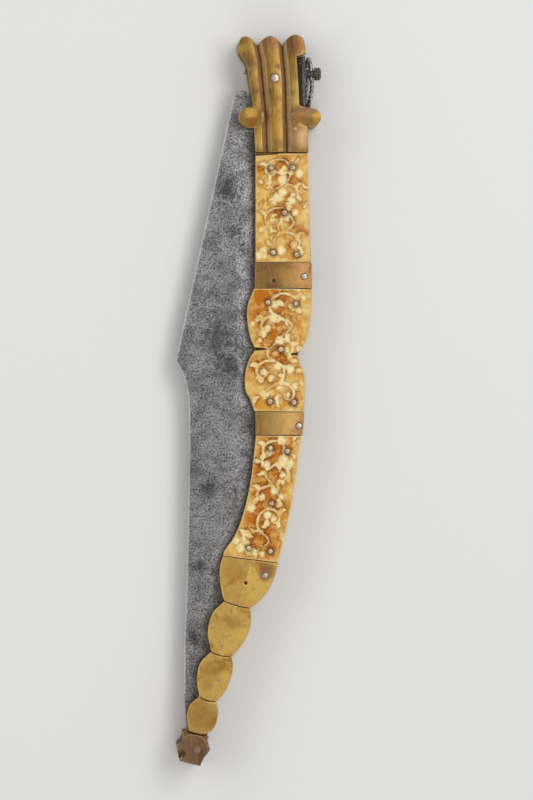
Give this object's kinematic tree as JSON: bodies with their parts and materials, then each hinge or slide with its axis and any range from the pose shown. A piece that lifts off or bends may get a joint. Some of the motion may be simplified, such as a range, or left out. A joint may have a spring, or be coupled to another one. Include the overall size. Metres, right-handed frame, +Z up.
{
  "type": "folding knife",
  "caption": "Large closed folding knife with a clip blade, ribbed brass bolsters, stained bone panels, beaded brass tail, back spring lock and pull ring.",
  "frame": {"origin": "centre of the bounding box, on the surface that the knife lies on", "axes": "+Y along the closed knife towards its head, +X from the blade towards the back spring, +Z up from the surface, out of the front face"},
  "size_m": [0.0732, 0.3654, 0.02],
  "materials": {
    "brass": "worn ochre brass with brown tarnish in the grooves",
    "finial_brass": "browner, duller brass",
    "bone": "polished bone, cream with amber stain in scrolls",
    "blade_steel": "grey, speckled and pitted",
    "spring_steel": "dark brownish steel with file lines",
    "stud_steel": "dark steel, milled and rubbed",
    "pin_steel": "pale peened steel",
    "brass_pins": "dark brown brass"
  },
  "bodies": {
    "handle": {"front_liner": "brass", "rear_liner": "brass", "front_head_bolster": "brass", "rear_head_bolster": "brass", "front_upper_band": "brass", "rear_upper_band": "brass", "front_lower_band": "brass", "rear_lower_band": "brass", "front_tail_bolster": "brass", "rear_tail_bolster": "brass", "front_tail_beads": "brass", "rear_tail_beads": "brass", "front_upper_bone": "bone", "rear_upper_bone": "bone", "front_middle_bone": "bone", "rear_middle_bone": "bone", "front_lower_bone": "bone", "rear_lower_bone": "bone", "front_finial": "finial_brass", "rear_finial": "finial_brass", "back_spacer": "spring_steel", "pivot_pin": "pin_steel", "head_rivet": "pin_steel", "spring_rivet": "pin_steel", "back_rivets": "pin_steel", "bead_rivet": "pin_steel", "finial_rivet": "pin_steel", "front_bone_pins": "pin_steel", "rear_bone_pins": "pin_steel", "front_brass_pins": "brass_pins", "rear_brass_pins": "brass_pins"},
    "blade": {"blade": "blade_steel"},
    "spring": {"lock_spring": "spring_steel"},
    "stud": {"spring_stud": "stud_steel"},
    "ring": {"pull_ring": "stud_steel"}
  },
  "joints": [
    {"name": "blade_pivot", "type": "hinge", "parent": "handle", "child": "blade", "pos_m": [0.01298, 0.16094, 0.01], "axis": [0, 0, -1], "range_deg": [0, 180], "deforming": ["lock_spring"]},
    {"name": "spring_lift", "type": "hinge", "parent": "handle", "child": "spring", "pos_m": [0.02768, 0.06184, 0.01], "axis": [0, 0, -1], "range_deg": [0, 2.8], "stiffness_Nm_per_rad": 12, "springref_deg": -1.72},
    {"name": "stud_turn", "type": "hinge", "parent": "spring", "child": "stud", "pos_m": [0.03127, 0.16404, 0.01], "axis": [-1, 0, 0], "range_deg": [0, 90]},
    {"name": "ring_swing", "type": "hinge", "parent": "stud", "child": "ring", "pos_m": [0.03127, 0.16404, 0.01], "axis": [0, -1, 0], "range_deg": [-8, 150]}
  ],
  "couplings": [
    {"joint": "stud_turn", "follows": "blade_pivot", "ratio": 0.5}
  ]
}
